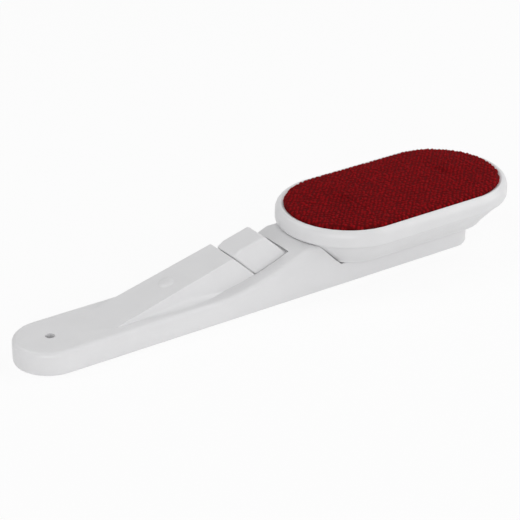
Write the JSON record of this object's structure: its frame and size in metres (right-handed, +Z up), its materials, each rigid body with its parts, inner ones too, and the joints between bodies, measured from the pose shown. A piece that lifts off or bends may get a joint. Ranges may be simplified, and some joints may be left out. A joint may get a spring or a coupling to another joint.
{
  "type": "electric clothes brush",
  "caption": "Battery clothes brush: flat straight handle with a wedge hump and thumb button, and a long oval velour pad in a white rim that swivels on a fixed bowl.",
  "frame": {"origin": "on the flat underside of the body, under the axis that the rim and pad swivel on", "axes": "+X from the handle towards the tip of the head, +Y across the brush, +Z up from the flat underside towards the velour"},
  "size_m": [0.2784, 0.0714, 0.0365],
  "materials": {
    "white_gloss": "semi gloss moulded",
    "white_satin": "satin moulded",
    "red_velour": "short directional velour",
    "cream_foam": "open cell foam",
    "cell_jacket": "printed jacket, plain",
    "plated_steel": "zinc plated",
    "grey_weight": "sintered",
    "black_plastic": "satin",
    "red_plastic": "satin",
    "green_board": "solder mask",
    "nylon": "natural",
    "black_insulation": "satin",
    "red_insulation": "satin"
  },
  "bodies": {
    "casing": {"upper_casing": "white_gloss", "base_plate": "white_satin", "case_screw_1": "plated_steel", "case_screw_2": "plated_steel", "case_screw_3": "plated_steel", "case_screw_4": "plated_steel", "case_screw_5": "plated_steel", "case_screw_6": "plated_steel", "battery_cell": "cell_jacket", "positive_contact": "plated_steel", "negative_contact": "plated_steel", "contact_spring": "plated_steel", "motor_can": "plated_steel", "motor_end_cap": "black_plastic", "switch_body": "black_plastic", "switch_board": "green_board", "button_spring": "plated_steel", "pivot_stud": "nylon", "pivot_washer": "plated_steel", "pivot_screw": "plated_steel", "negative_lead": "black_insulation", "positive_lead": "red_insulation", "motor_lead": "red_insulation", "head_base": "white_gloss", "head_screw_1": "plated_steel", "head_screw_2": "plated_steel", "head_screw_3": "plated_steel", "head_screw_4": "plated_steel"},
    "head": {"head_rim": "white_gloss", "pad_plate": "white_satin", "foam_pad": "cream_foam", "velour_pad": "red_velour", "rim_screw_1": "plated_steel", "rim_screw_2": "plated_steel", "rim_screw_3": "plated_steel", "rim_screw_4": "plated_steel"},
    "button": {"thumb_button": "white_gloss"},
    "plunger": {"switch_plunger": "red_plastic"},
    "rotor": {"motor_shaft": "plated_steel", "eccentric_weight": "grey_weight"},
    "door": {"battery_door": "white_satin"}
  },
  "joints": [
    {"name": "head_swivel", "type": "hinge", "parent": "casing", "child": "head", "pos_m": [0, 0, 0.025], "axis": [0, 0, 1], "range_deg": [0, 180]},
    {"name": "button_press", "type": "slide", "parent": "casing", "child": "button", "axis": [0.7193, 0, -0.6947], "range_m": [0, 0.0012], "stiffness_N_per_m": 500, "springref_m": -0.003, "deforming": ["button_spring"]},
    {"name": "plunger_press", "type": "slide", "parent": "casing", "child": "plunger", "axis": [0.7193, 0, -0.6947], "range_m": [0, 0.0012], "stiffness_N_per_m": 150, "springref_m": -0.002},
    {"name": "motor_spin", "type": "hinge", "parent": "casing", "child": "rotor", "pos_m": [-0.029, 0, 0.006], "axis": [1, 0, 0], "continuous": true},
    {"name": "door_slide", "type": "slide", "parent": "casing", "child": "door", "axis": [-1, 0, 0], "range_m": [0, 0.004]}
  ],
  "couplings": [
    {"joint": "plunger_press", "follows": "button_press", "ratio": 1}
  ]
}
